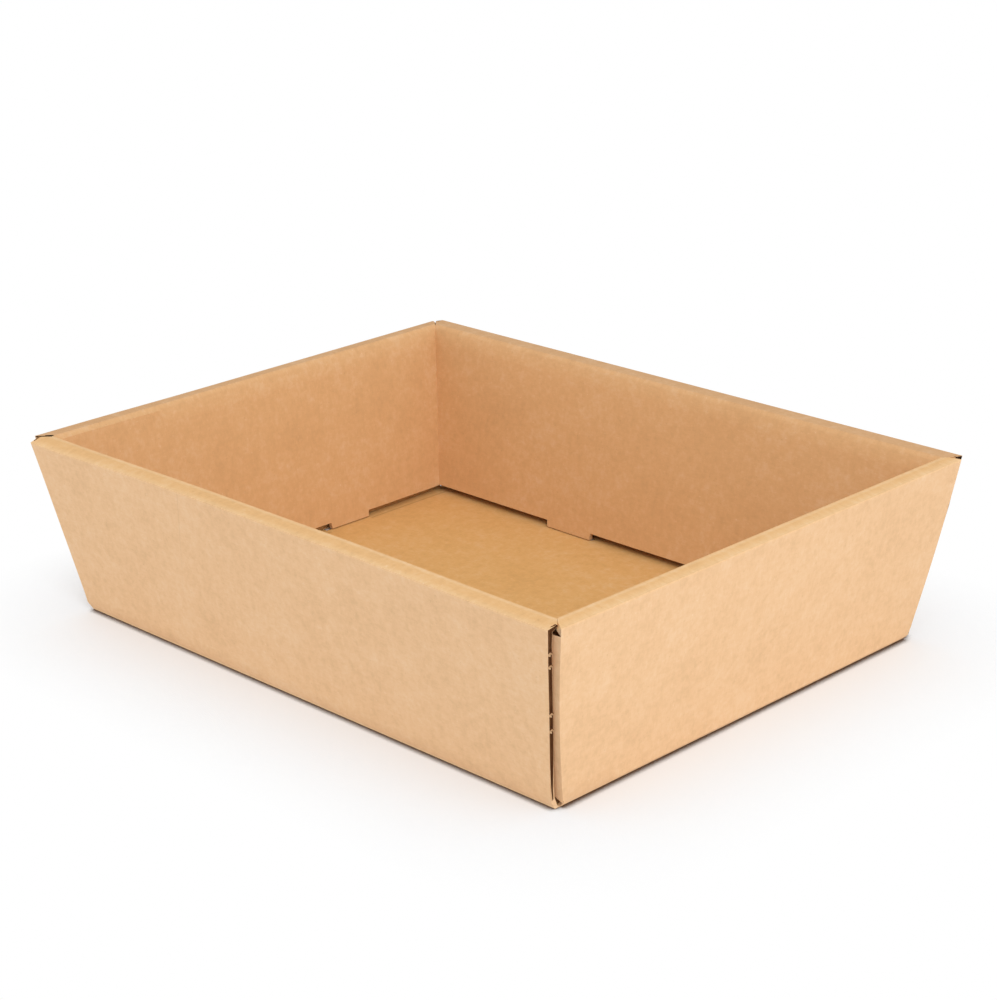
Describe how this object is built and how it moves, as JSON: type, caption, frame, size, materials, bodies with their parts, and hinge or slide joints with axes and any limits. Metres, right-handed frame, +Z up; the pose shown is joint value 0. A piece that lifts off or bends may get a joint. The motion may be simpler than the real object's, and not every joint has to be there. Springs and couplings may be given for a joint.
{
  "type": "corrugated board tray box",
  "caption": "Open rectangular tray folded from one sheet of brown corrugated board, with flared roll-over double walls and level rims, to hold gifts or goods.",
  "frame": {"origin": "middle of the underside of the base", "axes": "+X along the side walls, +Y along the end walls, +Z up out of the open top"},
  "size_m": [0.446, 0.346, 0.115],
  "materials": {
    "kraft_board": "matt uncoated kraft liner with faint flute lines"
  },
  "bodies": {
    "root": {"tray": "kraft_board"}
  },
  "joints": []
}
